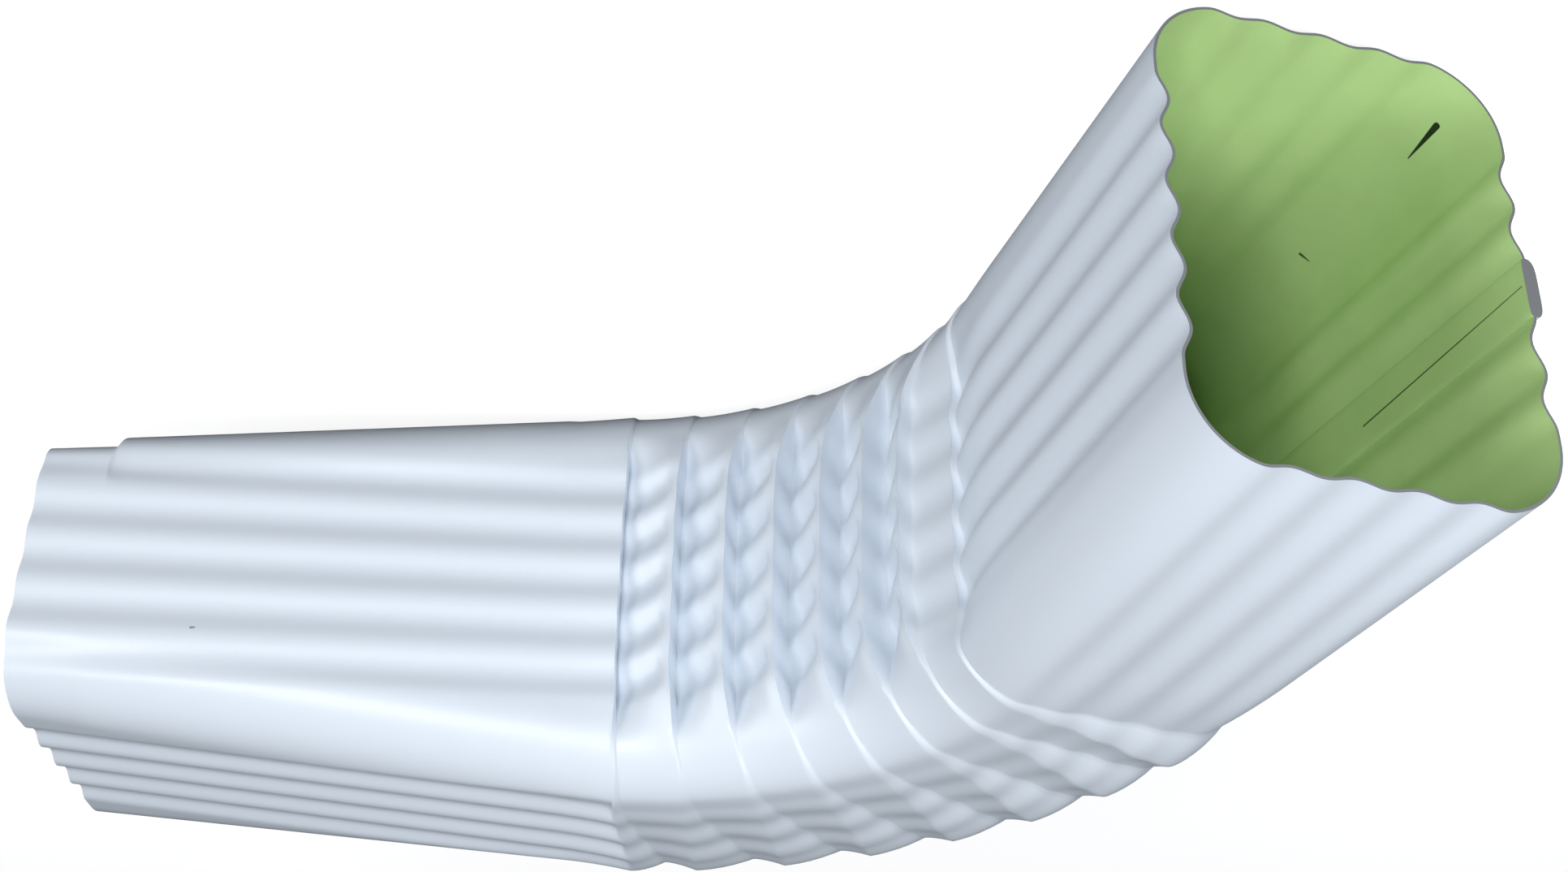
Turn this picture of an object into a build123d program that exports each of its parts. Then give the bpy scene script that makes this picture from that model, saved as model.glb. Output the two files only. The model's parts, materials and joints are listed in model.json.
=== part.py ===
from build123d import *
import math
import os

# A downspout elbow: one thin painted sheet, rolled into a ribbed rectangular tube,
# locked along a flat seam on the heel wall, and crimped to turn the tube.
# The narrow end slips into the pipe below, and the wide end takes the pipe above.
# The outlet leg lies along -X from the first crimp, and the tube turns towards +Y.
# The elbow lies on one side wall, as it comes to rest. All sizes are in millimetres.

# The sheet, and the tube's section at the outlet, through the crimps and at the inlet.
# Width is across the throat and heel walls, and depth is across the two side walls.
sheet = 0.5
outlet_width = 57.0
outlet_depth = 77.8
crimp_width = 85.9
crimp_depth = 57.0
inlet_width = 82.5
inlet_depth = 62.0
corner_radius = 13.8

# The path: two straight legs and the turn between them.
outlet_leg = 115.7
inlet_leg = 85.0
bend_radius = 94.5
bend_angle = 70.9

# Long ribs, pressed into the four walls before the tube is rolled.
rib_pitch = 10.2
rib_depth = 1.4
throat_ribs = 5
side_ribs = 4
corner_facets = 5

# Crimps: each one tucks the throat under the band before it, as a thin leaning fold that
# opens into a low pleat on the side and heel walls. A lip stands out of the plain wall,
# and the crease after it sinks into the wall.
crimps = 8
throat_lip = 2.4
throat_tuck = 2.4
last_fold = 1.8
fold_lean = 0.2
side_lip = 0.9
side_tuck = 0.9
leg_lip = 0.6
fold_run = 0.8
first_pleat = 6.0
pleat_width = 10.0
run_out = 16.0

# Where the first and last creases cross the throat, its corners and the heel, from the
# start and the end of the turn. The ribs are ironed flatter at a lip, and on the sides.
throat_first = -0.7
throat_last = -6.7
corner_first = 0.8
corner_last = 2.2
heel_first = 6.3
heel_last = -3.5
ironed_ribs = 0.3

# The outlet's end is squeezed a little on one corner, so that it slips into a pipe.
slip_length = 15.0
slip_step = 1.5
step_run = 1.0

# The lock seam: the sheet's two edges, folded together and flattened outside.
seam_width = 10.0
seam_height = 1.5
seam_edge = 0.8

turn = math.radians(bend_angle)
bend_run = bend_radius * turn
throat_pitch = (bend_run + throat_last - throat_first) / (crimps - 1)
corner_pitch = (bend_run + corner_last - corner_first) / (crimps - 1)
heel_pitch = (bend_run + heel_last - heel_first) / (crimps - 1)
rib_step = rib_pitch / 4
throat_reach = throat_ribs / 2 * rib_pitch
side_reach = side_ribs / 2 * rib_pitch


def blend(start, end, share):
    """A value that eases from start to end as share goes from 0 to 1."""
    share = min(max(share, 0), 1)
    return start + (end - start) * share * share * (3 - 2 * share)


def mix(start, end, share):
    """A value on the straight line from start to end."""
    return start + (end - start) * share


def section_size(travel):
    """The tube's width and depth at a distance along its middle line."""
    if travel < 0:
        share = -travel / outlet_leg
        return mix(crimp_width, outlet_width, share), mix(crimp_depth, outlet_depth, share)
    if travel <= bend_run:
        return crimp_width, crimp_depth
    share = (travel - bend_run) / inlet_leg
    return mix(crimp_width, inlet_width, share), mix(crimp_depth, inlet_depth, share)


def quarter_length(width, depth):
    """The sheet's length from the middle of the throat to the middle of a side wall."""
    return width / 2 + depth / 2 - 2 * corner_radius + math.pi / 2 * corner_radius


def walk(width, depth):
    """Distances along the sheet from mid throat to mid heel, where its facets meet."""
    quarter = quarter_length(width, depth)
    throat = [(k + 0.5) * rib_step for k in range(int(throat_reach / rib_step) + 1)]
    side = [(k + 0.5) * rib_step for k in range(int(side_reach / rib_step))]
    heel = [seam_width / 4, seam_width / 2, seam_width / 2 + seam_edge] + throat[3:]
    gap = quarter - throat[-1] - side[-1]
    corner = [gap * k / corner_facets for k in range(1, corner_facets)]
    upper = throat + [throat[-1] + c for c in corner] + [quarter - d for d in reversed(side)]
    lower = heel + [heel[-1] + c for c in corner] + [quarter - d for d in reversed(side)]
    return upper + [2 * quarter - d for d in reversed(lower)]


def rib_level(distance, quarter):
    """How far a rib sinks the sheet there, as a smooth wave across the flat walls."""
    from_side = abs(distance - quarter)
    from_middle = min(distance, 2 * quarter - distance)
    if from_side < side_reach:
        return -rib_depth * (1 - math.cos(2 * math.pi * from_side / rib_pitch)) / 2
    on_seam = distance > quarter and from_middle < rib_pitch / 2
    if from_middle < throat_reach and not on_seam:
        return -rib_depth * (1 + math.cos(2 * math.pi * from_middle / rib_pitch)) / 2
    return 0


def outline_point(distance, width, depth):
    """A point of the rounded rectangle, and the way out there: throat first, then up."""
    flat = width / 2 - corner_radius
    arc = math.pi / 2 * corner_radius
    side_flat = depth - 2 * corner_radius
    if distance < flat:
        return (depth / 2, distance), (1, 0)
    if distance < flat + arc:
        angle = (distance - flat) / corner_radius
        out = (math.cos(angle), math.sin(angle))
        centre = (depth / 2 - corner_radius, flat)
    elif distance < flat + arc + side_flat:
        return (depth / 2 - corner_radius - (distance - flat - arc), width / 2), (0, 1)
    elif distance < flat + 2 * arc + side_flat:
        angle = math.pi / 2 + (distance - flat - arc - side_flat) / corner_radius
        out = (math.cos(angle), math.sin(angle))
        centre = (corner_radius - depth / 2, flat)
    else:
        rest = distance - flat - 2 * arc - side_flat
        return (-depth / 2, flat - rest), (-1, 0)
    return (centre[0] + corner_radius * out[0], centre[1] + corner_radius * out[1]), out


def on_path(travel, inward, up):
    """A point of the tube, from its place in the section at that travel."""
    if travel < 0:
        return Vector(travel, inward, up)
    angle = min(travel / bend_radius, turn)
    along = max(travel - bend_run, 0)
    reach = bend_radius - inward
    x = reach * math.sin(angle) + along * math.cos(angle)
    y = bend_radius - reach * math.cos(angle) + along * math.sin(angle)
    return Vector(x, y, up)


def row(travel, level, ribs):
    """One closed line of the sheet's outside, round the tube from mid throat.

    Travel, level and ribs are functions of the place round the section: 0 at mid throat,
    1 at mid side wall and 2 at mid heel. The half below is the same, mirrored.
    """
    points = []
    width, depth = section_size(travel(1))
    quarter = quarter_length(width, depth)
    for side in (1, -1):
        half = []
        for distance in walk(width, depth):
            place = distance / quarter
            (inward, up), out = outline_point(distance, width, depth)
            lift = rib_level(distance, quarter) * ribs(place) + level(place, side)
            point = on_path(travel(place), inward + lift * out[0], side * (up + lift * out[1]))
            half.append(point)
        points += half if side > 0 else half[::-1]
    return points


def throat_share(place):
    """1 on the throat wall, and 0 from its corners on."""
    return blend(1, 0, (place - 0.36) / 0.16)


def side_share(place):
    """The pleats start low at the throat's corners and are full on the side walls."""
    return blend(0.25, 1, (place - 0.7) / 0.5)


def crease(index, place):
    """How far along the tube the crease of a crimp lies."""
    throat = throat_first + throat_pitch * index
    corner = min(corner_first + corner_pitch * index, bend_run)
    heel = heel_first + heel_pitch * index
    return blend(throat, corner, (place - 0.2) / 0.5) + blend(0, heel - corner, (place - 0.65) / 0.75)


def lip(index, place):
    """How far along the tube the lip of a crimp lies: past its crease where the fold leans."""
    lean = -fold_run if index == crimps - 1 else fold_lean * index
    width = first_pleat if index == 0 else pleat_width
    opening = (width - fold_run) * min(max((place - 0.66) / 0.7, 0), 1)
    return crease(index, place) + mix(-fold_run, lean, throat_share(place)) - opening


def crimp_level(throat_level, side_level):
    def level(place, side):
        return throat_level * throat_share(place) + side_level * side_share(place)
    return level


def slip_level(travel):
    """The step of the slip end, which is on the corner below the throat only."""
    past = travel + outlet_leg - slip_length
    size = slip_step * blend(0, 1, past / step_run) * min(-travel / outlet_leg, 1)

    def level(place, side):
        on_corner = blend(0, 1, (place - 0.3) / 0.15) * blend(1, 0, (place - 0.7) / 0.2)
        return size * on_corner if side < 0 else 0
    return level


def straight(travel):
    return lambda place: travel


def full_ribs(place):
    return 1


def crease_ribs(place):
    """The ribs stay deep in the throat's creases and are ironed on the sides."""
    return blend(1, ironed_ribs, (place - 0.52) / 0.14)


def lip_ribs(place):
    return ironed_ribs


# The outlet leg, from its cut end to the first crimp.
rows = []
step_start = slip_length - outlet_leg
for travel in (-outlet_leg, step_start, step_start + step_run, -outlet_leg / 2, -run_out / 2):
    rows.append(row(straight(travel), slip_level(travel), full_ribs))


def crimp_rows(index):
    """The lip and the crease of one crimp. The last two share one long face on the throat."""
    high = leg_lip if index == 0 else throat_lip
    low = -throat_tuck
    if index == crimps - 2:
        low = throat_lip - last_fold
    if index == crimps - 1:
        high = -throat_tuck + fold_run / 2
    ribs = full_ribs if index == 0 else lip_ribs
    return [row(lambda place: lip(index, place), crimp_level(high, side_lip), ribs),
            row(lambda place: crease(index, place), crimp_level(low, -side_tuck), crease_ribs)]


def band_row(index):
    """The middle of the band after a crimp, which rises to the next lip."""
    rise = 0.6 * throat_lip - 0.4 * throat_tuck
    if index == crimps - 2:
        rise = (throat_lip - last_fold - throat_tuck) / 2
    return row(lambda place: (crease(index, place) + lip(index + 1, place)) / 2,
               crimp_level(rise, 0), crease_ribs)


# The crimps, and the bands between them, which turn the tube.
for index in range(crimps):
    rows += crimp_rows(index)
    if index < crimps - 1:
        rows.append(band_row(index))

# The inlet leg runs out of the last crease to its cut end.
rows.append(row(straight(bend_run + run_out / 2), crimp_level(-throat_tuck / 3, -side_tuck / 3), full_ribs))
rows.append(row(straight(bend_run + run_out), crimp_level(0, 0), full_ribs))
rows.append(row(straight(bend_run + inlet_leg), crimp_level(0, 0), full_ribs))


def facet_normal(a, b, c):
    return (b - a).cross(c - a).normalized()


# The cut ends are flat and square to their legs.
end_axes = {0: Vector(1, 0, 0), len(rows) - 1: Vector(math.cos(turn), math.sin(turn), 0)}


def way_in(i, j):
    """The step from the sheet's outside to its inside, square to the facets that meet."""
    count = len(rows[0])
    normals = []
    for di in (-1, 1):
        if 0 <= i + di < len(rows):
            for dj in (-1, 1):
                corner = rows[i][j]
                along = rows[i + di][j]
                around = rows[i][(j + dj) % count]
                normals.append(facet_normal(corner, along, around) * (di * dj))
    total = normals[0]
    for normal in normals[1:]:
        total = total + normal
    if i in end_axes:
        total = total - end_axes[i] * total.dot(end_axes[i])
    middle = total.normalized()
    square = min(middle.dot(normal) for normal in normals)
    return middle * (sheet / max(square, 0.5))


inner = [[rows[i][j] + way_in(i, j) for j in range(len(rows[0]))] for i in range(len(rows))]
seam_points = [j for j in range(len(rows[0])) if abs(j - (len(rows[0]) - 1) / 2) < 2]
outer = [list(line) for line in rows]
for i in range(len(rows)):
    for j in seam_points:
        outer[i][j] = rows[i][j] - way_in(i, j) * (seam_height / sheet)


# The origin is under the middle of the elbow, on the surface that it lies on.
corners = [point for line in outer for point in line]
middle_x = (min(p.X for p in corners) + max(p.X for p in corners)) / 2
middle_y = (min(p.Y for p in corners) + max(p.Y for p in corners)) / 2
origin = Vector(middle_x, middle_y, min(p.Z for p in corners))
outer = [[point - origin for point in line] for line in outer]
inner = [[point - origin for point in line] for line in inner]


def triangle(a, b, c):
    return Face(Wire.make_polygon([a, b, c], close=True))


def skin(first, second):
    """The facets between two lines of points with as many points each."""
    facets = []
    for j in range(len(first)):
        k = (j + 1) % len(first)
        facets.append(triangle(first[j], second[j], second[k]))
        facets.append(triangle(first[j], second[k], first[k]))
    return facets


def rim(i):
    """The cut edge of the sheet at one end, as one flat ring."""
    hole = Wire.make_polygon(inner[i], close=True)
    return Face(Wire.make_polygon(outer[i], close=True), [hole])


facets = [rim(0), rim(-1)]
for i in range(len(rows) - 1):
    facets += skin(outer[i], outer[i + 1]) + skin(inner[i], inner[i + 1])

with BuildPart() as elbow_shell:
    add(Solid(Shell(facets)), clean=False)
print("facets", len(facets), "volume", elbow_shell.part.volume)
print("outlet centre", -outlet_leg - origin.X, -origin.Y, -origin.Z)

elbow_shell.part.label = "elbow_shell"
os.makedirs("parts", exist_ok=True)
export_step(elbow_shell.part, "parts/elbow_shell.step", write_pcurves=False)
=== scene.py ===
import json
import math

import bpy
import numpy as np
from mathutils import Matrix, Vector


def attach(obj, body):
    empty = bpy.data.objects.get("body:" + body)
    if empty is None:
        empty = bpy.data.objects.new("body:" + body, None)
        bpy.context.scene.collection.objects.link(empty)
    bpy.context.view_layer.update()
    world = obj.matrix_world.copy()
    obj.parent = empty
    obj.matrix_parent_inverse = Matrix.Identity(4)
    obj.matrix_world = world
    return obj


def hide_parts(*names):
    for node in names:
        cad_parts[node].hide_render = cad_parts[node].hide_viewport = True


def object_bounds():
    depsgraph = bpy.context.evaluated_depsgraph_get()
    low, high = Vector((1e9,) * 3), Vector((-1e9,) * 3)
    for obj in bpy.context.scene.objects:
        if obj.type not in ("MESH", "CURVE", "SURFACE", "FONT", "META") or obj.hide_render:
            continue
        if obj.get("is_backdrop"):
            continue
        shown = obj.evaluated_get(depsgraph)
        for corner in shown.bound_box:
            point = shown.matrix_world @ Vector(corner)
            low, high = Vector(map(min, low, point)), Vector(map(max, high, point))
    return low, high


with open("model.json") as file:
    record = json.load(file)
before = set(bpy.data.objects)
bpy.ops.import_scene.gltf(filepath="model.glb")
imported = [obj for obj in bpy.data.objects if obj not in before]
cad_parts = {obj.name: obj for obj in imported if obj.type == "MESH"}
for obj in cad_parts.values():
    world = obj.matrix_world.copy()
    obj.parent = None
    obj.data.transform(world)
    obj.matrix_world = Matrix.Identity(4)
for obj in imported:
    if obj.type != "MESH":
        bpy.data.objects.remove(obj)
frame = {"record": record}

low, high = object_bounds()

# The elbow: one sheet of painted aluminium that rollers rib and a lock seam closes into a
# rectangular tube. Eight crimps then gather its throat and turn it. It lies on one side wall.

# Its plain form, in millimetres. Width is across the throat and heel walls, depth across the
# two side walls, and travel runs along the middle of the tube, from 0 where the bend starts.
OUTLET_WIDTH, OUTLET_DEPTH = 57.0, 77.8
CRIMP_WIDTH, CRIMP_DEPTH = 85.9, 57.0
INLET_WIDTH, INLET_DEPTH = 82.5, 62.0
CORNER_RADIUS = 13.8
OUTLET_LEG, INLET_LEG = 115.7, 85.0
BEND_RADIUS = 94.5
BEND_ANGLE = math.radians(70.9)
BEND_RUN = BEND_RADIUS * BEND_ANGLE


def ease(start, end, share):
    """Values that ease from start to end as share goes from 0 to 1."""
    share = np.clip(share, 0, 1)
    return start + (end - start) * share * share * (3 - 2 * share)


def mix(start, end, share):
    return start + (end - start) * share


def section_size(travel):
    """The tube's width and depth, which change along both legs and stay even in the bend."""
    if travel < 0:
        share = -travel / OUTLET_LEG
        return mix(CRIMP_WIDTH, OUTLET_WIDTH, share), mix(CRIMP_DEPTH, OUTLET_DEPTH, share)
    share = max(travel - BEND_RUN, 0) / INLET_LEG
    return mix(CRIMP_WIDTH, INLET_WIDTH, share), mix(CRIMP_DEPTH, INLET_DEPTH, share)


# The ribs run along the tube, and the lock seam along the middle of the heel. The places
# round the sheet, from mid throat to mid heel, are the same in each row.
RIB_PITCH = 10.2
THROAT_RIBS, SIDE_RIBS = 5, 4
THROAT_REACH = THROAT_RIBS / 2 * RIB_PITCH
SIDE_REACH = SIDE_RIBS / 2 * RIB_PITCH
SEAM_WIDTH, SEAM_EDGE = 10.0, 0.4
SEAM_HALF = SEAM_WIDTH / 2 + SEAM_EDGE
STEPS_PER_RIB, CORNER_STEPS, SEAM_TOP_STEPS = 12, 20, 5
SEAM_SIDE_STEPS = (1.0, 0.6, 0.3, 0.1, 0.0)
fine = RIB_PITCH / STEPS_PER_RIB
throat_steps = (np.arange(round(THROAT_REACH / fine)) + 0.5) * fine
side_steps = (np.arange(round(SIDE_REACH / fine)) + 0.5) * fine
seam_top = (np.arange(SEAM_TOP_STEPS) + 0.5) * fine
seam_steps = np.append(seam_top, SEAM_HALF - np.array(SEAM_SIDE_STEPS))
heel_steps = np.append(seam_steps, throat_steps[throat_steps > SEAM_HALF + fine / 2])


def half_walk(quarter):
    """How far round each place is, where a quarter of the way round has this length."""
    gap = quarter - throat_steps[-1] - side_steps[-1]
    corner = gap * np.arange(1, CORNER_STEPS) / CORNER_STEPS
    down = quarter - side_steps[::-1]
    upper = np.concatenate([throat_steps, throat_steps[-1] + corner, down])
    gap = quarter - heel_steps[-1] - side_steps[-1]
    corner = gap * np.arange(1, CORNER_STEPS) / CORNER_STEPS
    lower = np.concatenate([heel_steps, heel_steps[-1] + corner, down])
    return np.concatenate([upper, 2 * quarter - lower[::-1]])


def half_outline(distance, width, depth):
    """Points of half a rounded rectangle, throat first, and the way out at each."""
    flat = width / 2 - CORNER_RADIUS
    side_flat = depth - 2 * CORNER_RADIUS
    arc = math.pi / 2 * CORNER_RADIUS
    turn = np.clip((distance - flat) / CORNER_RADIUS, 0, math.pi / 2)
    turn = turn + np.clip((distance - flat - arc - side_flat) / CORNER_RADIUS, 0, math.pi / 2)
    on_throat = np.minimum(distance, flat)
    on_side = np.clip(distance - flat - arc, 0, side_flat)
    on_heel = np.maximum(distance - flat - 2 * arc - side_flat, 0)
    inward = depth / 2 - CORNER_RADIUS + CORNER_RADIUS * np.cos(turn) - on_side
    up = on_throat + CORNER_RADIUS * np.sin(turn) - on_heel
    return inward, up, np.cos(turn), np.sin(turn)


def on_path(travel, inward, up):
    """Points of a section, laid along the two legs and the bend between them."""
    angle = np.clip(travel / BEND_RADIUS, 0, BEND_ANGLE)
    along = np.maximum(travel - BEND_RUN, 0)
    before = np.minimum(travel, 0)
    reach = BEND_RADIUS - inward
    x = reach * np.sin(angle) + along * np.cos(angle) + before
    y = BEND_RADIUS - reach * np.cos(angle) + along * np.sin(angle)
    return np.stack([x, y, up], axis=-1)


# The crimps: where each one crosses the throat, its corners and the heel. Each is a thin
# fold on the throat, with a foot that widens over the first few, and a wide pleat elsewhere.
CRIMPS = 8
THROAT_FIRST, THROAT_PITCH = -0.7, 15.85
CORNER_FIRST, CORNER_PITCH = 0.8, 16.9
HEEL_FIRST, HEEL_PITCH = 6.3, 15.3
FOLD_RUN, FOLD_FOOT = 1.0, 0.35
FIRST_FOOT, WIDEST_FOOT = 0.6, 1.5
PLEAT_RUN, FIRST_PLEAT_RUN = 10.0, 6.0

# A place round the sheet is 0 at mid throat, 1 at mid side and 2 at mid heel. Each pair says
# at which place a change starts, and over how much of the way round it goes on.
CORNER_TURN, HEEL_TURN = (0.2, 0.5), (0.65, 0.75)
FOLD_END, PLEAT_START = (0.36, 0.16), (0.6, 0.7)


def change(start, end, place, where):
    """Values that ease from start to end round the sheet, where the pair says."""
    return ease(start, end, (place - where[0]) / where[1])


def crease(index, place):
    """How far along the tube a crimp's crease lies, at each place round the sheet."""
    throat = THROAT_FIRST + THROAT_PITCH * index
    corner = min(CORNER_FIRST + CORNER_PITCH * index, BEND_RUN)
    heel = HEEL_FIRST + HEEL_PITCH * index
    return change(throat, corner, place, CORNER_TURN) + change(0, heel - corner, place, HEEL_TURN)


def lip(index, place):
    """How far along a crimp's lip lies: just before its crease on the throat, more elsewhere."""
    last = index == CRIMPS - 1
    foot = FOLD_RUN if last else min(FOLD_FOOT * (index + FIRST_FOOT), WIDEST_FOOT)
    wide = FIRST_PLEAT_RUN if index == 0 else PLEAT_RUN
    opening = (wide - FOLD_RUN) * np.clip((place - PLEAT_START[0]) / PLEAT_START[1], 0, 1)
    return crease(index, place) + change(-foot, -FOLD_RUN, place, FOLD_END) - opening


# The outlet slips into the pipe below, so one of its corners is squeezed.
PINCH_OUT, PINCH_IN = 1.2, 1.8
PINCH_POINT, PINCH_HALF = 0.37, 0.11
SUNK_START, SUNK_END = (0.42, 0.14), (0.62, 0.2)


def corner_pinch(place):
    """The squeezed corner: it comes to a point on the throat's side and sinks beside it."""
    point = PINCH_OUT * np.clip(1 - np.abs(place - PINCH_POINT) / PINCH_HALF, 0, 1)
    return point - PINCH_IN * change(0, 1, place, SUNK_START) * change(1, 0, place, SUNK_END)


# The rows of points that make the sheet. Each point keeps what is pressed into it.
SIDE_LEAST, SIDE_GROWTH = 0.25, (0.7, 0.5)
THIN_END = (0.55, 0.1)
SLIP_START, SLIP_END = (0.3, 0.15), (0.7, 0.2)
SEAM_CROWN = 6
rows = []
kept = {name: [] for name in (
    "out", "from_middle", "from_side", "throat_rise", "side_rise", "on_throat", "on_side",
    "pressed", "slip", "seam", "gauge", "upright")}


def add_row(travel, throat_rise, side_rise, pressed, slip=0.0, drift=0.0, gauge=1.0, pinch=0.0,
            upright=0.0):
    """One line of points round the sheet. Travel and pressed are functions of place.

    The rises are 0 at the bottom of a crease and 1 at the top of a lip. Pressed is the
    share of the ribs' depth. Slip is how far the lower throat corner stands out. Drift moves
    the throat's grooves round the sheet, towards the upper side. Gauge is the share of the
    sheet's thickness that a sharp fold leaves room for. Pinch is the share of the squeeze on
    the corner of the slip end. Upright ribs sink straight in, not square to a sloping fold.
    """
    width, depth = section_size(float(travel(np.array([1.0]))[0]))
    quarter = width / 2 + depth / 2 - 2 * CORNER_RADIUS + math.pi / 2 * CORNER_RADIUS
    distance = half_walk(quarter)
    place = distance / quarter
    from_heel = 2 * quarter - distance
    inward, up, out_inward, out_up = half_outline(distance, width, depth)
    run = travel(place)
    angle = np.clip(run / BEND_RADIUS, 0, BEND_ANGLE)
    slip_corner = change(0, 1, place, SLIP_START) * change(1, 0, place, SLIP_END)
    points, values = [], {name: [] for name in kept}
    for side in (1, -1):
        order = slice(None) if side > 0 else slice(None, None, -1)
        points.append(on_path(run, inward, side * up)[order])
        squeeze = 0 * place if side > 0 else slip * slip_corner + pinch * corner_pinch(place)
        row = {
            "out": np.stack([-np.sin(angle) * out_inward, np.cos(angle) * out_inward,
                             side * out_up], -1),
            "from_middle": np.where(place < 1, np.abs(side * distance - drift), from_heel),
            "from_side": np.abs(distance - quarter),
            "throat_rise": throat_rise + 0 * place,
            "side_rise": side_rise + 0 * place,
            "on_throat": change(1, 0, place, FOLD_END),
            "on_side": change(SIDE_LEAST, 1, place, SIDE_GROWTH),
            "pressed": pressed(place),
            "slip": squeeze,
            "gauge": mix(1, gauge, change(1, 0, place, THIN_END)),
            "upright": upright + 0 * place,
            "seam": np.sqrt(np.clip(1 - (from_heel / SEAM_HALF) ** SEAM_CROWN, 0, 1)),
        }
        for name, value in row.items():
            values[name].append(value[order])
    rows.append(np.concatenate(points))
    for name in kept:
        kept[name].append(np.concatenate(values[name]))


def square_row(travel):
    """A row that lies square across the tube, at the same travel all round."""
    return lambda place: travel + 0 * place


# The outlet leg is straight along its length, so a few rows are enough for it. REST is the
# rise of its plain wall. It climbs to the first lip at its end.
THROAT_LIP, THROAT_TUCK = 2.4, 2.4
LEG_LIP = 0.6
SIDE_LIP, SIDE_TUCK = 0.9, 0.9
THROAT_REST = THROAT_TUCK / (THROAT_LIP + THROAT_TUCK)
SIDE_REST = SIDE_TUCK / (SIDE_LIP + SIDE_TUCK)
LEG_RISE = (THROAT_TUCK + LEG_LIP) / (THROAT_LIP + THROAT_TUCK)
SLIP_LENGTH, SLIP_STEP = 13.0, 1.6
SLIP_RUN, SLIP_GROWTH = 0.9, 1.15
CLIMB_START = -14.0
RIM_ROW, PAST_STEP, LEG_ROWS = 6.0, 4.0, 9
CLIMB_SHARES = (0.2, 0.45, 0.65, 0.8, 0.9, 0.96, 1.0)
OUTLET_RIBS, SIDE_START = 0.65, (0.52, 0.14)
FOLD_GAUGE, LIP_SHARE = 0.25, 0.9
step = SLIP_LENGTH - OUTLET_LEG
outlet_rows = [-OUTLET_LEG, RIM_ROW - OUTLET_LEG]
outlet_rows += [step + SLIP_RUN * share for share in (-1 / 3, 0, 1 / 3, 2 / 3, 1)]
outlet_rows += list(np.linspace(step + PAST_STEP, CLIMB_START, LEG_ROWS))


def outlet_ribs(place):
    return change(OUTLET_RIBS, 1, place, SIDE_START)


for run in outlet_rows:
    past = float(ease(0, 1, (run - step) / SLIP_RUN))
    add_row(square_row(run), THROAT_REST, SIDE_REST, outlet_ribs,
            slip=SLIP_STEP * past * min(-run / OUTLET_LEG * SLIP_GROWTH, 1), pinch=1 - past)
for share in CLIMB_SHARES:
    def travel(place):
        return mix(CLIMB_START, lip(0, place), share)

    add_row(travel, mix(THROAT_REST, LEG_RISE, share ** 2), mix(SIDE_REST, 1, share ** 2),
            outlet_ribs, gauge=FOLD_GAUGE if share > LIP_SHARE else 1.0, upright=1.0)

# The bands: each rises from its crease to a flat rim at the next lip. The lip then drops
# into the crease, as a thin fold on the throat and a wide pleat on the sides. The grooves
# run aslant from one crimp to the next, and step back in the fold.
FOLD_SHARES = (0.1, 0.25, 0.45, 0.65, 0.85)
BAND_SHARES = (0.0, 0.05, 0.12, 0.22, 0.34, 0.46, 0.58, 0.68, 0.76, 0.84, 0.92, 1.0)
FOLD_CURVE, SIDE_DROP, SIDE_CLIMB = 2.0, 1.8, 1.5
RIM_START, RIM_DIP, BAND_CURVE = 0.82, 0.03, 1.2
LAST_FOLD = 1.8
LAST_RISE = 1 - LAST_FOLD / (THROAT_LIP + THROAT_TUCK)
LAST_TOP = FOLD_RUN / 2 / (THROAT_LIP + THROAT_TUCK)
IRONED, SIDE_IRONED, FOLDED, LAST_RIBS, BAND_RIBS = 0.25, 0.3, 0.5, 0.6, 1.15
RIBS_IN, RIBS_OUT, RIBS_GONE = 0.2, 0.7, 0.2
GAUGE_IN, GAUGE_OUT = 0.12, 0.16
GROOVE_DRIFT = 1.6
for index in range(CRIMPS):
    lip_ribs = {0: OUTLET_RIBS, CRIMPS - 1: LAST_RIBS}.get(index, IRONED)
    fold_ribs = {CRIMPS - 2: LAST_RIBS, CRIMPS - 1: 1.0}.get(index, FOLDED)
    fold_top = {0: LEG_RISE, CRIMPS - 1: LAST_TOP}.get(index, 1 - RIM_DIP)
    fold_bottom = LAST_RISE if index == CRIMPS - 2 else 0.0
    start_drift = 0 if index in (0, CRIMPS - 1) else -GROOVE_DRIFT
    end_drift = 0 if index >= CRIMPS - 2 else GROOVE_DRIFT
    for share in FOLD_SHARES:
        def travel(place):
            return mix(lip(index, place), crease(index, place), share)

        def pressed(place):
            return change(mix(lip_ribs, fold_ribs, share), SIDE_IRONED, place, SIDE_START)

        throat_rise = mix(fold_bottom, fold_top, (1 - share) ** FOLD_CURVE)
        add_row(travel, throat_rise, 1 - share ** SIDE_DROP, pressed,
                drift=mix(start_drift, end_drift, share), gauge=FOLD_GAUGE,
                upright=1.0 if index == 0 else 0.0)
    if index == CRIMPS - 1:
        break
    last = index == CRIMPS - 2
    for share in BAND_SHARES:
        def travel(place):
            return mix(crease(index, place), lip(index + 1, place), share)

        def pressed(place):
            ribs = ease(FOLDED, BAND_RIBS, share / RIBS_IN)
            ribs = ribs * ease(1, IRONED / BAND_RIBS, (share - RIBS_OUT) / RIBS_GONE)
            return change(LAST_RIBS if last else ribs, SIDE_IRONED, place, SIDE_START)

        throat_rise = min(1 - max(1 - share / RIM_START, 0) ** BAND_CURVE, 1 - RIM_DIP * share)
        if last:
            throat_rise = mix(LAST_RISE, LAST_TOP, share)
        add_row(travel, throat_rise, share ** SIDE_CLIMB, pressed,
                drift=0.0 if last else mix(GROOVE_DRIFT, -GROOVE_DRIFT, share),
                gauge=mix(FOLD_GAUGE, 1, min(share / GAUGE_IN, (1 - share) / GAUGE_OUT, 1)))

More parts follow.
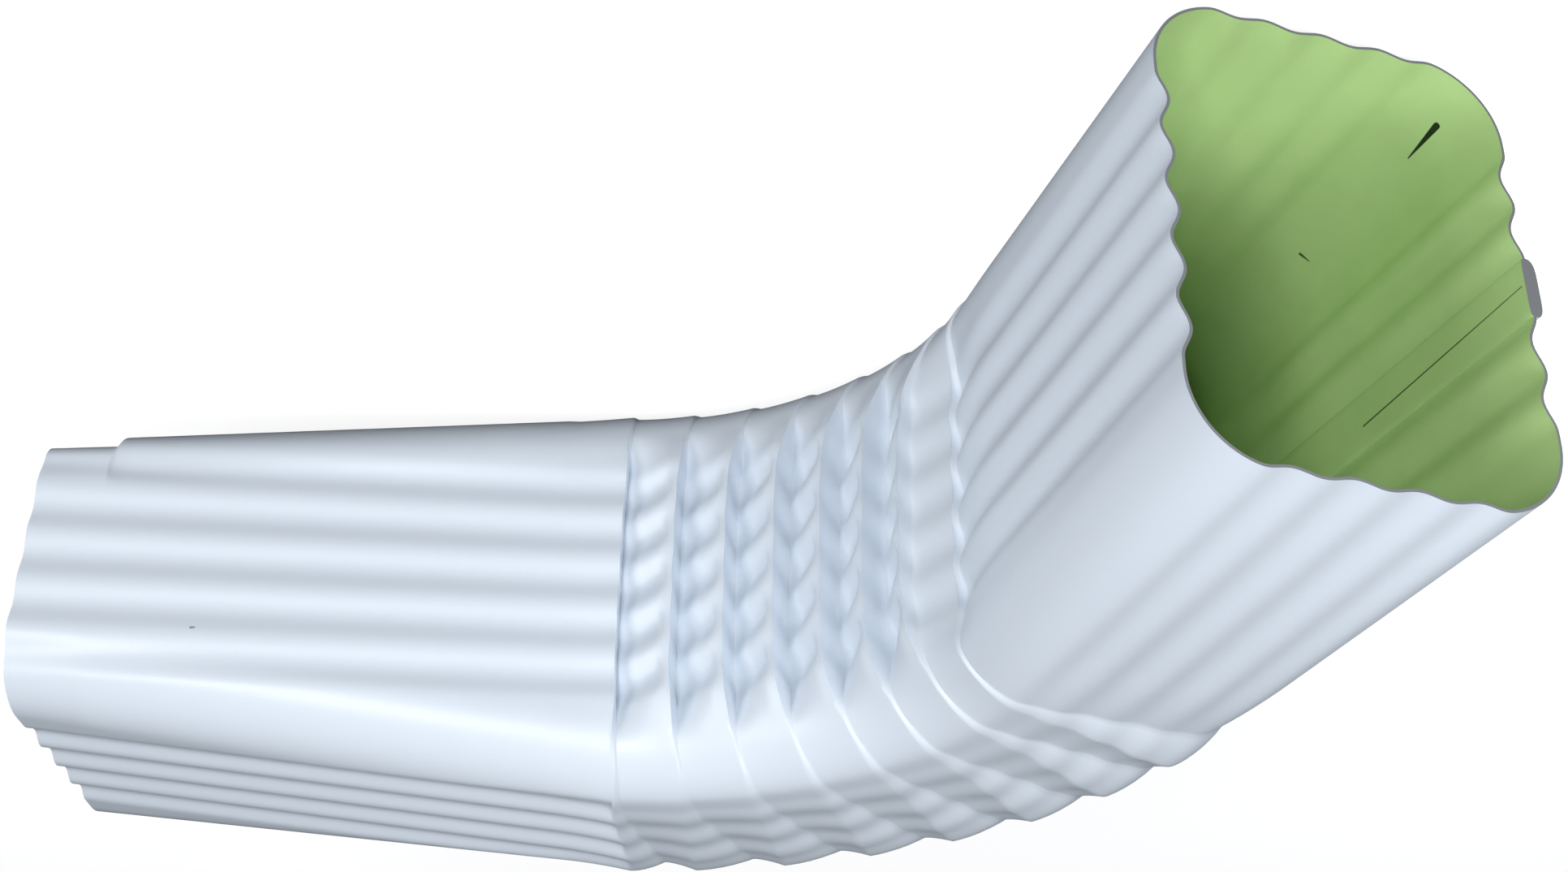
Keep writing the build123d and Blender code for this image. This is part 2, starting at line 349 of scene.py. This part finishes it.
# The inlet leg runs out of the last crease. Its throat ribs are pressed deepest, and its
# side ribs stay lower than the others.
RUN_OUT, RUN_OUT_CURVE = 16.0, 1.8
RUN_OUT_SHARES = (0.0, 0.04, 0.12, 0.25, 0.4, 0.6, 0.8, 1.0)
SIDE_LEG, THROAT_LEG = 0.6, 1.2
HEEL_START = (1.4, 0.1)
for share in RUN_OUT_SHARES:
    def travel(place):
        return mix(crease(CRIMPS - 1, place), BEND_RUN + RUN_OUT, share)

    def pressed(place):
        throat, side = mix(1, THROAT_LEG, share), mix(SIDE_IRONED, SIDE_LEG, share)
        return change(throat, side, place, SIDE_START)

    climb = 1 - (1 - share) ** RUN_OUT_CURVE
    add_row(travel, THROAT_REST * climb, SIDE_REST * climb, pressed)


def inlet_ribs(place):
    on_sides = change(0, 1, place, SIDE_START) * change(1, 0, place, HEEL_START)
    return mix(THROAT_LEG, SIDE_LEG, on_sides)


for run in np.linspace(BEND_RUN + RUN_OUT, BEND_RUN + INLET_LEG, LEG_ROWS)[1:]:
    add_row(square_row(run), THROAT_REST, SIDE_REST, inlet_ribs)

# The rows are joined into one sheet, in metres. The outlet mount ties it to the part's frame.
mounts = {m["name"]: m["pos_m"] for m in frame["record"]["mounts"]}
bend_start = np.array(mounts["outlet_slip"]) + np.array([OUTLET_LEG, 0, 0]) / 1000
points = np.concatenate(rows) / 1000 + bend_start
count = len(rows[0])
faces = []
for i in range(len(rows) - 1):
    for j in range(count):
        k = (j + 1) % count
        faces.append((i * count + j, i * count + k, (i + 1) * count + k, (i + 1) * count + j))
sheet_mesh = bpy.data.meshes.new("elbow_sheet")
sheet_mesh.from_pydata(points.tolist(), [], faces)
for name, values in kept.items():
    kind, field = ("FLOAT_VECTOR", "vector") if name == "out" else ("FLOAT", "value")
    attribute = sheet_mesh.attributes.new(name, kind, "POINT")
    attribute.data.foreach_set(field, np.concatenate(values).astype(np.float32).ravel())
elbow = bpy.data.objects.new("elbow", sheet_mesh)
bpy.context.collection.objects.link(elbow)


def colour(code):
    """A linear colour from its sRGB hex code."""
    parts = [int(code[i:i + 2], 16) / 255 for i in (0, 2, 4)]
    return tuple(p / 12.92 if p <= 0.04045 else ((p + 0.055) / 1.055) ** 2.4 for p in parts) + (1,)


def add_node(tree, kind, inputs=(), **settings):
    """One node. Its inputs are listed in order or by name, and one that is a node or an
    output is linked. In a Mix node, 4 and 5 are its two vectors, and 6 and 7 its two colours.
    """
    made = tree.nodes.new(kind)
    for name, value in settings.items():
        setattr(made, name, value)
    for key, value in inputs.items() if isinstance(inputs, dict) else enumerate(inputs):
        if isinstance(value, bpy.types.Node):
            value = value.outputs[0]
        if isinstance(value, bpy.types.NodeSocket):
            tree.links.new(value, made.inputs[key])
        else:
            made.inputs[key].default_value = value
    return made


def marked(tree, plain, start, end, half_widths, tint):
    """A scratch on a coat: a dark streak from start to end, in metres, that tapers."""
    start, run = Vector(start), Vector(end) - Vector(start)
    wide, narrow = half_widths
    place = add_node(tree, "ShaderNodeTexCoord").outputs["Object"]
    away = add_node(tree, "ShaderNodeVectorMath", [place, start], operation="SUBTRACT")
    along = add_node(tree, "ShaderNodeVectorMath", [away, run / run.length_squared],
                     operation="DOT_PRODUCT").outputs["Value"]
    share = add_node(tree, "ShaderNodeMath", [along, 0.0], operation="ADD", use_clamp=True)
    nearest = add_node(tree, "ShaderNodeVectorMath", {0: run, "Scale": share}, operation="SCALE")
    gap = add_node(tree, "ShaderNodeVectorMath", [away, nearest],
                   operation="DISTANCE").outputs["Value"]
    half = add_node(tree, "ShaderNodeMath", [share, narrow - wide, wide],
                    operation="MULTIPLY_ADD")
    inside = add_node(tree, "ShaderNodeMath", [gap, half], operation="LESS_THAN")
    return add_node(tree, "ShaderNodeMix", {0: inside, 6: plain, 7: colour(tint)},
                    data_type="RGBA").outputs[2]


def speckle(tree, grain):
    """Fine noise whose grains have this size in metres."""
    place = add_node(tree, "ShaderNodeTexCoord").outputs["Object"]
    return add_node(tree, "ShaderNodeTexNoise", {"Vector": place, "Scale": 1 / grain, "Detail": 2.0})


# The coil paint outside: a topcoat that is baked on before the sheet is formed. It gives a
# glossy white with a cool cast, a faint orange peel in the highlights, and one grey speck.
PEEL_GRAIN, PEEL_HEIGHT = 0.0025, 0.00002
SPECK = ((-0.0976, -0.0212, 0.0580), (-0.0970, -0.0212, 0.0579), (0.0003, 0.0002), "8F98A2")
coil_paint = bpy.data.materials.new("coil_paint_outside")
coil_paint.use_nodes = True
tree = coil_paint.node_tree
paint = tree.nodes["Principled BSDF"]
tree.links.new(marked(tree, colour("DDE7F2"), *SPECK), paint.inputs["Base Color"])
peel = add_node(tree, "ShaderNodeBump",
                {"Height": speckle(tree, PEEL_GRAIN), "Distance": PEEL_HEIGHT})
tree.links.new(peel.outputs[0], paint.inputs["Normal"])
paint.inputs["Roughness"].default_value = 0.38
paint.inputs["IOR"].default_value = 1.5

# The wash coat inside: a thin green backer that is rolled on with the paint. It gives a satin
# green that is a little uneven, with a dark tapered scratch, a nick and a hairline at the seam.
COAT_GRAIN = 0.009
SCRATCH = ((0.12303, 0.06968, 0.0069), (0.1204, 0.06137, 0.00724), (0.0006, 0.0001), "20301C")
NICK = ((0.10859, 0.03153, 0.00611), (0.11001, 0.03157, 0.00772), (0.0003, 0.0001), "3C5230")
HAIRLINE = ((0.114, 0.03667, 0.045), (0.1292, 0.0765, 0.0433), (0.00015, 0.00012), "3C5230")
wash_coat = bpy.data.materials.new("wash_coat_inside")
wash_coat.use_nodes = True
tree = wash_coat.node_tree
wash = tree.nodes["Principled BSDF"]
green = add_node(tree, "ShaderNodeMix", {0: speckle(tree, COAT_GRAIN), 6: colour("B1D18D"),
                 7: colour("BDDD99")}, data_type="RGBA").outputs[2]
for mark in (SCRATCH, NICK, HAIRLINE):
    green = marked(tree, green, *mark)
tree.links.new(green, wash.inputs["Base Color"])
wash.inputs["Roughness"].default_value = 0.45
wash.inputs["IOR"].default_value = 1.5

# The cut edge: bare aluminium where the tube is cut to length. It gives a thin, dull grey
# line round both ends.
cut_edge = bpy.data.materials.new("bare_cut_edge")
cut_edge.use_nodes = True
edge = cut_edge.node_tree.nodes["Principled BSDF"]
edge.inputs["Base Color"].default_value = colour("B4B9BE")
edge.inputs["Metallic"].default_value = 0.6
edge.inputs["Roughness"].default_value = 0.5

# Geometry Nodes press the ribs and crimps into the sheet, lay the lock seam on it and give it
# its thickness. The sizes are inputs, in millimetres.
SHEET = 0.5
MM = 0.001
tree = bpy.data.node_groups.new("pressed_sheet", "GeometryNodeTree")
tree.interface.new_socket("Geometry", in_out="INPUT", socket_type="NodeSocketGeometry")
tree.interface.new_socket("Geometry", in_out="OUTPUT", socket_type="NodeSocketGeometry")
sizes = {
    "Rib Pitch": RIB_PITCH, "Rib Depth": 1.4, "Throat Reach": THROAT_REACH,
    "Side Reach": SIDE_REACH, "Throat Lip": THROAT_LIP, "Throat Tuck": THROAT_TUCK,
    "Side Lip": SIDE_LIP, "Side Tuck": SIDE_TUCK, "Seam Height": 1.5, "Seam Inside": 0.5,
    "Sheet": SHEET,
}
identifiers = {}
for name in sizes:
    socket = tree.interface.new_socket(name, in_out="INPUT", socket_type="NodeSocketFloat")
    identifiers[name] = socket.identifier
given = add_node(tree, "NodeGroupInput").outputs
stored = {}
for name in kept:
    kind = "FLOAT_VECTOR" if name == "out" else "FLOAT"
    stored[name] = add_node(tree, "GeometryNodeInputNamedAttribute", {"Name": name}, data_type=kind)


def ribbed(distance, reach, swing):
    """Waves across one wall, out to its reach: 1 is the bottom of a groove, 0 a rib's top.

    The middle of the wall has a groove where the swing is 0.5, and a rib where it is -0.5.
    """
    across = add_node(tree, "ShaderNodeMath", [distance, 2 * math.pi], operation="MULTIPLY")
    across = add_node(tree, "ShaderNodeMath", [across, given["Rib Pitch"]], operation="DIVIDE")
    wave = add_node(tree, "ShaderNodeMath", [across], operation="COSINE")
    wave = add_node(tree, "ShaderNodeMath", [wave, swing, 0.5], operation="MULTIPLY_ADD")
    on_wall = add_node(tree, "ShaderNodeMath", [distance, given[reach]], operation="LESS_THAN")
    return add_node(tree, "ShaderNodeMath", [wave, on_wall], operation="MULTIPLY")


def crimped_wall(rise, share, lip_name, tuck_name):
    """How far out the crimps lift one wall, in millimetres."""
    span = add_node(tree, "ShaderNodeMath", [given[lip_name], given[tuck_name]], operation="ADD")
    level = add_node(tree, "ShaderNodeMath", [rise, span], operation="MULTIPLY")
    level = add_node(tree, "ShaderNodeMath", [level, given[tuck_name]], operation="SUBTRACT")
    return add_node(tree, "ShaderNodeMath", [level, share], operation="MULTIPLY")


def moved(skin, way, distance):
    """A skin moved along a way by a distance in metres."""
    offset = add_node(tree, "ShaderNodeVectorMath", {0: way, "Scale": distance}, operation="SCALE")
    return add_node(tree, "GeometryNodeSetPosition", {"Geometry": skin, "Offset": offset})


def evened(times):
    """The sheet's normal, evened out over its sharp folds."""
    blurred = add_node(tree, "GeometryNodeBlurAttribute", {"Value": normal, "Iterations": times},
                       data_type="FLOAT_VECTOR")
    return add_node(tree, "ShaderNodeVectorMath", [blurred], operation="NORMALIZE")


# The crimps are lifted straight out of the plain wall.
throat = crimped_wall(stored["throat_rise"], stored["on_throat"], "Throat Lip", "Throat Tuck")
sides = crimped_wall(stored["side_rise"], stored["on_side"], "Side Lip", "Side Tuck")
level = add_node(tree, "ShaderNodeMath", [throat, sides], operation="ADD")
level = add_node(tree, "ShaderNodeMath", [level, stored["slip"]], operation="ADD")
level = add_node(tree, "ShaderNodeMath", [level, MM], operation="MULTIPLY")
crimped = moved(given["Geometry"], stored["out"], level)

# The grooves between the ribs then sink in, square to the sheet or straight in where it is
# upright. There are none across the seam.
normal = add_node(tree, "GeometryNodeInputNormal")
plain = add_node(tree, "ShaderNodeMath", [1.0, stored["seam"]], operation="SUBTRACT")
wide_ribs = ribbed(stored["from_middle"], "Throat Reach", 0.5)
wide_ribs = add_node(tree, "ShaderNodeMath", [wide_ribs, plain], operation="MULTIPLY")
side_ribs = ribbed(stored["from_side"], "Side Reach", -0.5)
ribs = add_node(tree, "ShaderNodeMath", [wide_ribs, side_ribs], operation="ADD")
ribs = add_node(tree, "ShaderNodeMath", [ribs, stored["pressed"]], operation="MULTIPLY")
ribs = add_node(tree, "ShaderNodeMath", [ribs, given["Rib Depth"]], operation="MULTIPLY")
ribs = add_node(tree, "ShaderNodeMath", [ribs, -MM], operation="MULTIPLY")
sink_way = add_node(tree, "ShaderNodeMix", {0: stored["upright"], 4: evened(2), 5: stored["out"]},
                    data_type="VECTOR").outputs[1]
ribbed_sheet = moved(crimped, sink_way, ribs)

# The inner skin lies one sheet's thickness in. It lies a little deeper under the seam, and
# closer in a sharp fold.
inside = add_node(tree, "ShaderNodeMath", [stored["seam"], given["Seam Inside"]],
                  operation="MULTIPLY")
inside = add_node(tree, "ShaderNodeMath", [inside, given["Sheet"]], operation="ADD")
inside = add_node(tree, "ShaderNodeMath", [inside, stored["gauge"]], operation="MULTIPLY")
inside = add_node(tree, "ShaderNodeMath", [inside, -MM], operation="MULTIPLY")
step_in = add_node(tree, "ShaderNodeVectorMath", {0: evened(3), "Scale": inside},
                   operation="SCALE")
place = add_node(tree, "GeometryNodeInputPosition")
inner_place = add_node(tree, "ShaderNodeVectorMath", [place, step_in], operation="ADD")
both = add_node(tree, "GeometryNodeStoreNamedAttribute",
                {"Geometry": ribbed_sheet, "Name": "inner_place", "Value": inner_place},
                data_type="FLOAT_VECTOR", domain="POINT")
inner_place = add_node(tree, "GeometryNodeInputNamedAttribute", {"Name": "inner_place"},
                       data_type="FLOAT_VECTOR")
inner_skin = add_node(tree, "GeometryNodeSetPosition", {"Geometry": both, "Position": inner_place})
inner_skin = add_node(tree, "GeometryNodeFlipFaces", [inner_skin])
inner_skin = add_node(tree, "GeometryNodeSetMaterial",
                      {"Geometry": inner_skin, "Material": wash_coat})

# The outer skin carries the seam. An edge with one face is open: it is drawn in to meet the
# inner skin, as the cut edge.
seam_out = add_node(tree, "ShaderNodeMath", [given["Seam Height"], MM], operation="MULTIPLY")
seam_out = add_node(tree, "ShaderNodeMath", [stored["seam"], seam_out], operation="MULTIPLY")
outer_skin = moved(both, normal, seam_out)
outer_skin = add_node(tree, "GeometryNodeSetMaterial",
                      {"Geometry": outer_skin, "Material": coil_paint})
neighbours = add_node(tree, "GeometryNodeInputMeshEdgeNeighbors")
open_edge = add_node(tree, "FunctionNodeCompare", {2: neighbours, 3: 1}, data_type="INT",
                     operation="EQUAL")
rims = add_node(tree, "GeometryNodeExtrudeMesh",
                {"Mesh": outer_skin, "Selection": open_edge, "Offset Scale": 0.0},
                mode="EDGES").outputs
rim_skin = add_node(tree, "GeometryNodeSetPosition",
                    {"Geometry": rims["Mesh"], "Selection": rims["Top"], "Position": inner_place})
rim_skin = add_node(tree, "GeometryNodeSetMaterial",
                    {"Geometry": rim_skin, "Selection": rims["Side"], "Material": cut_edge})
MERGE_GAP = 0.000002
joined = add_node(tree, "GeometryNodeJoinGeometry", [rim_skin])
tree.links.new(inner_skin.outputs[0], joined.inputs[0])
closed = add_node(tree, "GeometryNodeMergeByDistance", {"Geometry": joined, "Distance": MERGE_GAP})
smooth = add_node(tree, "GeometryNodeSetShadeSmooth", [closed])
real = add_node(tree, "GeometryNodeRealizeInstances", [smooth])
add_node(tree, "NodeGroupOutput", [real])

# The finished sheet. The few points that stand out of the solid elbow's box are brought
# back to it.
CREASE_ANGLE = math.radians(42)
modifier = elbow.modifiers.new("pressed_sheet", "NODES")
modifier.node_group = tree
for name, size in sizes.items():
    modifier[identifiers[name]] = size
evaluated = elbow.evaluated_get(bpy.context.evaluated_depsgraph_get())
finished = bpy.data.meshes.new_from_object(evaluated)
elbow.modifiers.remove(modifier)
elbow.data = finished
finished.set_sharp_from_angle(angle=CREASE_ANGLE)
for vertex in finished.vertices:
    vertex.co = [min(max(value, start), end) for value, start, end in zip(vertex.co, low, high)]

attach(elbow, "root")
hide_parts("elbow_shell")

# The floor: a pale sweep that keeps the elbow's shadow. It is dark to other rays than the
# camera's, so that it throws little light up at the elbow.
FLOOR_HALF, FLOOR_GLOW = 2.0, 0.68
floor_mesh = bpy.data.meshes.new("floor")
floor_mesh.from_pydata([(-FLOOR_HALF, -FLOOR_HALF, 0), (FLOOR_HALF, -FLOOR_HALF, 0),
                        (FLOOR_HALF, FLOOR_HALF, 0), (-FLOOR_HALF, FLOOR_HALF, 0)], [], [(0, 1, 2, 3)])
floor = bpy.data.objects.new("floor", floor_mesh)
bpy.context.collection.objects.link(floor)
floor_paper = bpy.data.materials.new("floor_paper")
floor_paper.use_nodes = True
tree = floor_paper.node_tree
paper = tree.nodes["Principled BSDF"]
paper.inputs["Roughness"].default_value = 0.9
paper.inputs["Specular IOR Level"].default_value = 0.0
paper.inputs["Emission Color"].default_value = colour("FFFFFF")
to_camera = add_node(tree, "ShaderNodeLightPath").outputs["Is Camera Ray"]
glow = add_node(tree, "ShaderNodeMath", [to_camera, FLOOR_GLOW], operation="MULTIPLY")
tree.links.new(glow.outputs[0], paper.inputs["Emission Strength"])
shade = add_node(tree, "ShaderNodeMix", {0: to_camera, 6: colour("4A4A4A"), 7: colour("FAFAFA")},
                 data_type="RGBA")
tree.links.new(shade.outputs[2], paper.inputs["Base Color"])
floor_mesh.materials.append(floor_paper)
floor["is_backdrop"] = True


# Soft lights in a pale room: a key on the throat's side, one on the left and a small one
# over the bend.
def area_light(name, place, aim, size, power):
    light = bpy.data.lights.new(name, "AREA")
    light.size = size
    light.energy = power
    holder = bpy.data.objects.new(name, light)
    holder.location = place
    holder.rotation_euler = (Vector(aim) - Vector(place)).to_track_quat("-Z", "Y").to_euler()
    bpy.context.collection.objects.link(holder)


area_light("key", place=(-0.2, 0.87, 0.38), aim=(0, 0, 0.04), size=0.25, power=4.4)
area_light("left", place=(-0.72, 0.42, 0.22), aim=(0, 0.03, 0.04), size=0.4, power=2.5)
area_light("side", place=(0.26, 0.24, 0.35), aim=(0.06, 0, 0.04), size=0.25, power=1.2)
room = bpy.data.worlds.new("room")
bpy.context.scene.world = room
room.use_nodes = True
room.node_tree.nodes["Background"].inputs["Color"].default_value = colour("F2F6FF")
room.node_tree.nodes["Background"].inputs["Strength"].default_value = 0.13

# The camera looks down on the elbow from its throat side, rolled over as in the photo. Its
# place is measured from where the bend starts.
CAMERA_PLACE = Vector((0.0359, 0.4029, 0.1822))
CAMERA_BACK, CAMERA_RIGHT = Vector((0.011, 0.867, 0.499)), Vector((1.0, -0.005, -0.013))
SENSOR_WIDTH = 36
PHOTO_WIDTH, FOCAL_PIXELS = 1932, 2601
camera_data = bpy.data.cameras.new("camera")
camera = bpy.data.objects.new("camera", camera_data)
bpy.context.collection.objects.link(camera)
bpy.context.scene.camera = camera
back = CAMERA_BACK.normalized()
right = (CAMERA_RIGHT - back * CAMERA_RIGHT.dot(back)).normalized()
turned = Matrix((right, back.cross(right), back)).transposed().to_4x4()
camera.matrix_world = Matrix.Translation(CAMERA_PLACE + Vector(bend_start)) @ turned
camera_data.sensor_width = SENSOR_WIDTH
camera_data.lens = SENSOR_WIDTH * FOCAL_PIXELS / PHOTO_WIDTH
camera_data.clip_start = 0.01
bpy.context.scene.view_settings.view_transform = "Standard"

low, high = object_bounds()
